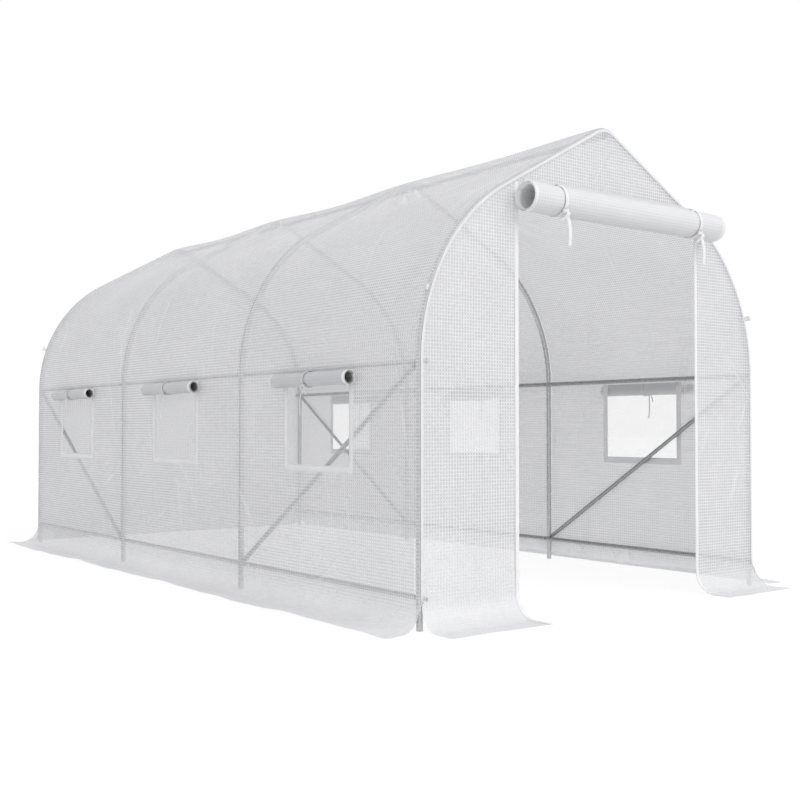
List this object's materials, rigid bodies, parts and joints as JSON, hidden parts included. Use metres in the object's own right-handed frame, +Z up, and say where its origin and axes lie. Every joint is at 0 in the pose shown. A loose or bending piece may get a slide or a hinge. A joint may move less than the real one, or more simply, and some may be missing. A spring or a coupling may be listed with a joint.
{
  "type": "polytunnel greenhouse",
  "caption": "Walk-in polytunnel: bent steel tube hoops with rails and braces under a white grid-reinforced fabric cover, with roll-up door, windows and ground skirts.",
  "frame": {"origin": "on the ground at the middle of the plan, half way between the end hoops", "axes": "+Z up, +Y along the tunnel away from the door end, +X to the right for someone who faces the door"},
  "size_m": [2.3706, 4.3706, 2.0023],
  "materials": {
    "hoop_steel": "galvanised, satin",
    "rail_steel": "galvanised, satin",
    "cover_film": "white translucent film with a woven reinforcing grid",
    "hem_fabric": "white folded and sewn film",
    "screen_mesh": "fine white insect netting",
    "rolled_film": "white film in rolled layers",
    "tie_tape": "white woven tape"
  },
  "bodies": {
    "root": {"door_hems": "hem_fabric", "door_roll": "rolled_film", "door_ties": "tie_tape", "front_gable": "cover_film", "front_left_panel": "cover_film", "front_left_skirt": "cover_film", "front_right_panel": "cover_film", "front_right_skirt": "cover_film", "guy_loops": "tie_tape", "left_bottom_rail": "rail_steel", "left_bows": "hoop_steel", "left_front_brace": "rail_steel", "left_legs": "hoop_steel", "left_rafters": "hoop_steel", "left_rear_brace": "rail_steel", "left_roof": "cover_film", "left_shoulder": "cover_film", "left_skirt": "cover_film", "left_waist_rail": "rail_steel", "left_wall": "cover_film", "left_window_hems": "hem_fabric", "left_window_rolls": "rolled_film", "left_window_screens": "screen_mesh", "left_window_ties": "tie_tape", "rear_panel": "cover_film", "rear_skirt": "cover_film", "ridge_bends": "hoop_steel", "ridge_cover": "cover_film", "ridge_rail": "rail_steel", "right_bottom_rail": "rail_steel", "right_bows": "hoop_steel", "right_front_brace": "rail_steel", "right_legs": "hoop_steel", "right_rafters": "hoop_steel", "right_rear_brace": "rail_steel", "right_roof": "cover_film", "right_shoulder": "cover_film", "right_skirt": "cover_film", "right_waist_rail": "rail_steel", "right_wall": "cover_film", "right_window_hems": "hem_fabric", "right_window_rolls": "rolled_film", "right_window_screens": "screen_mesh", "right_window_ties": "tie_tape"}
  },
  "joints": []
}
